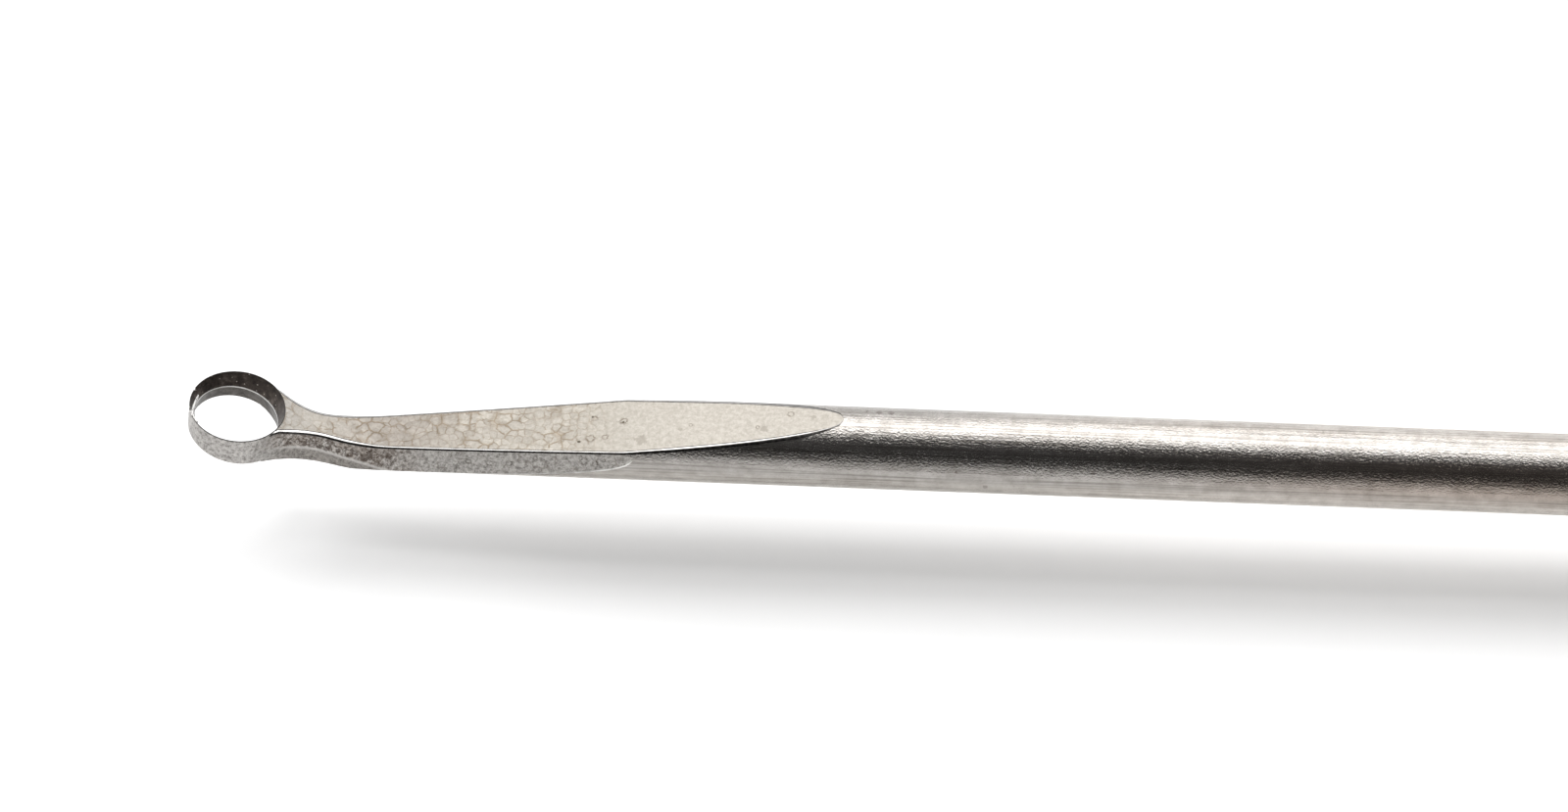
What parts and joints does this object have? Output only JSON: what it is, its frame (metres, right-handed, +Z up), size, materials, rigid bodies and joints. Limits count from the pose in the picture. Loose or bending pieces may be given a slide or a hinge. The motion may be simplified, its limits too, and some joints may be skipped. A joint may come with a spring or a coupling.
{
  "type": "ring curette",
  "caption": "One-piece steel ring curette: a sharp-rimmed ring on a slim, flattened neck that grows out of a plain round bar.",
  "frame": {"origin": "under the middle of the overall length, on the lowest line of the bar", "axes": "+X along the bar towards the plain end, with the ring at -X; +Z up, out of the long flat; +Y across"},
  "size_m": [0.145, 0.0046, 0.004],
  "materials": {
    "stainless_steel": "satin, with stains and pits"
  },
  "bodies": {
    "root": {"ring_curette": "stainless_steel"}
  },
  "joints": []
}
